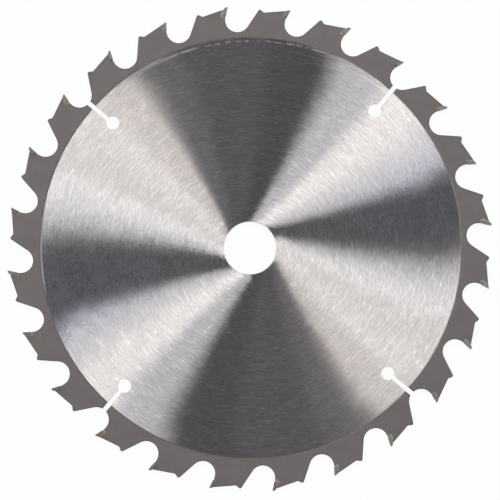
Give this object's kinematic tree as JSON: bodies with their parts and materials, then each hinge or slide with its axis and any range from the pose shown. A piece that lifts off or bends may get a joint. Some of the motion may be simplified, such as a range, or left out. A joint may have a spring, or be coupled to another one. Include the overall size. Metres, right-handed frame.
{
  "type": "circular saw blade",
  "caption": "Round toothed steel saw blade with a plain bore, keyhole expansion slots, kickback shoulders and brazed carbide tips.",
  "frame": {"origin": "centre of the bore, halfway through the plate's thickness", "axes": "+Z along the blade's spin axis, up from the face shown in the picture; +X through the cutting corner of tooth 01"},
  "size_m": [0.184, 0.184, 0.0026],
  "materials": {
    "plate_steel": "circularly ground and bright inside, matt grey on the toothed rim",
    "carbide": "finely ground sintered carbide, grey",
    "braze": "as-flowed silver braze, dull pale gold"
  },
  "bodies": {
    "root": {"blade_plate": "plate_steel", "carbide_tip_01": "carbide", "carbide_tip_02": "carbide", "carbide_tip_03": "carbide", "carbide_tip_04": "carbide", "carbide_tip_05": "carbide", "carbide_tip_06": "carbide", "carbide_tip_07": "carbide", "carbide_tip_08": "carbide", "carbide_tip_09": "carbide", "carbide_tip_10": "carbide", "carbide_tip_11": "carbide", "carbide_tip_12": "carbide", "carbide_tip_13": "carbide", "carbide_tip_14": "carbide", "carbide_tip_15": "carbide", "carbide_tip_16": "carbide", "carbide_tip_17": "carbide", "carbide_tip_18": "carbide", "carbide_tip_19": "carbide", "carbide_tip_20": "carbide", "carbide_tip_21": "carbide", "carbide_tip_22": "carbide", "carbide_tip_23": "carbide", "carbide_tip_24": "carbide", "braze_seam_01": "braze", "braze_seam_02": "braze", "braze_seam_03": "braze", "braze_seam_04": "braze", "braze_seam_05": "braze", "braze_seam_06": "braze", "braze_seam_07": "braze", "braze_seam_08": "braze", "braze_seam_09": "braze", "braze_seam_10": "braze", "braze_seam_11": "braze", "braze_seam_12": "braze", "braze_seam_13": "braze", "braze_seam_14": "braze", "braze_seam_15": "braze", "braze_seam_16": "braze", "braze_seam_17": "braze", "braze_seam_18": "braze", "braze_seam_19": "braze", "braze_seam_20": "braze", "braze_seam_21": "braze", "braze_seam_22": "braze", "braze_seam_23": "braze", "braze_seam_24": "braze"}
  },
  "joints": []
}
